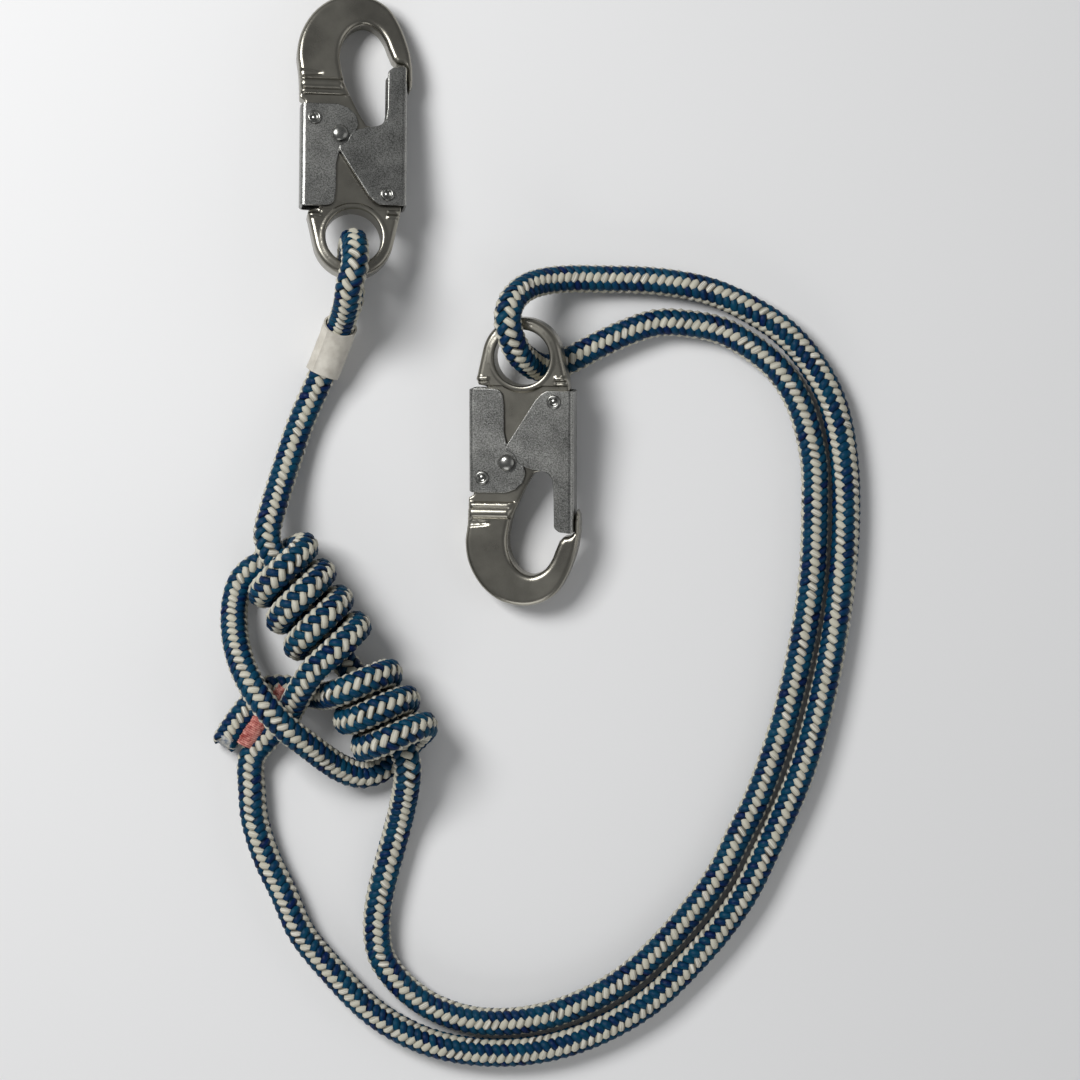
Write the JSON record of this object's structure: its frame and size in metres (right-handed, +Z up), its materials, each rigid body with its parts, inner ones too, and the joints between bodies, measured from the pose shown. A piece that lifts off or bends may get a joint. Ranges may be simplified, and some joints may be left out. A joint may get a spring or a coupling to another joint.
{
  "type": "tree climbing lanyard",
  "caption": "Adjustable rope lanyard for tree climbing: braided rope with a sewn, sliding friction hitch and double-locking snap hooks.",
  "frame": {"origin": "on the surface that the lanyard lies on, midway between the snap hooks", "axes": "+Z up; +Y runs along the snap hooks, from the second snap's hook end towards the first snap's hook end; +X points to the side of the rope's open loop"},
  "size_m": [0.2872, 0.4723, 0.0443],
  "materials": {
    "rope": "braided polyester cover, white with blue",
    "label": "blank shrink sleeve, off-white",
    "thread": "close stitching, red",
    "forged_steel": "plated forging, satin",
    "sheet_steel": "plated pressed sheet, satin",
    "rivet_steel": "plated rivet, smooth",
    "spring_wire": "spring wire"
  },
  "bodies": {
    "rope": {"rope_eye_splice": "rope", "rope_lead": "rope", "rope_inner_strand": "rope", "rope_eye_turn": "rope", "rope_outer_strand": "rope", "hitch_winding": "rope", "label_sleeve": "label", "stitched_band": "thread"},
    "snap_1": {"snap_1_forging": "forged_steel", "snap_1_gate_rivet": "rivet_steel", "snap_1_lever_rivet": "rivet_steel", "snap_1_gate_spring": "spring_wire", "snap_1_lever_spring": "spring_wire"},
    "snap_1_gate": {"snap_1_gate": "sheet_steel"},
    "snap_1_lever": {"snap_1_lock_lever": "sheet_steel", "snap_1_lock_pin": "rivet_steel"},
    "snap_2": {"snap_2_forging": "forged_steel", "snap_2_gate_rivet": "rivet_steel", "snap_2_lever_rivet": "rivet_steel", "snap_2_gate_spring": "spring_wire", "snap_2_lever_spring": "spring_wire"},
    "snap_2_gate": {"snap_2_gate": "sheet_steel"},
    "snap_2_lever": {"snap_2_lock_lever": "sheet_steel", "snap_2_lock_pin": "rivet_steel"}
  },
  "joints": [
    {"name": "snap_1_swing", "type": "hinge", "parent": "rope", "child": "snap_1", "pos_m": [-0.0374, 0.01121, 0.02486], "axis": [0.9903, -0.0206, -0.1376], "range_deg": [-20, 80]},
    {"name": "snap_1_gate_hinge", "type": "hinge", "parent": "snap_1", "child": "snap_1_gate", "pos_m": [-0.02314, 0.0444, 0.01788], "axis": [0.1392, 0.1464, 0.9794], "range_deg": [0, 18], "stiffness_Nm_per_rad": 0.25, "springref_deg": -20.05},
    {"name": "snap_1_lever_hinge", "type": "hinge", "parent": "snap_1", "child": "snap_1_lever", "pos_m": [-0.05483, 0.07848, 0.01728], "axis": [0.1392, 0.1464, 0.9794], "range_deg": [0, 10], "stiffness_Nm_per_rad": 0.15, "springref_deg": -20.05},
    {"name": "snap_2_swing", "type": "hinge", "parent": "rope", "child": "snap_2", "pos_m": [0.04283, -0.02024, 0.02163], "axis": [-0.8643, 0.4968, -0.0786], "range_deg": [-2, 35]},
    {"name": "snap_2_gate_hinge", "type": "hinge", "parent": "snap_2", "child": "snap_2_gate", "pos_m": [0.05132, -0.04443, 0.02011], "axis": [0.1564, 0.117, -0.9807], "range_deg": [0, 18], "stiffness_Nm_per_rad": 0.25, "springref_deg": -20.05},
    {"name": "snap_2_lever_hinge", "type": "hinge", "parent": "snap_2", "child": "snap_2_lever", "pos_m": [0.01972, -0.0774, 0.01113], "axis": [0.1564, 0.117, -0.9807], "range_deg": [0, 10], "stiffness_Nm_per_rad": 0.15, "springref_deg": -20.05}
  ],
  "couplings": [
    {"joint": "snap_1_lever_hinge", "follows": "snap_1_gate_hinge", "ratio": 0.5555},
    {"joint": "snap_2_lever_hinge", "follows": "snap_2_gate_hinge", "ratio": 0.5555}
  ]
}
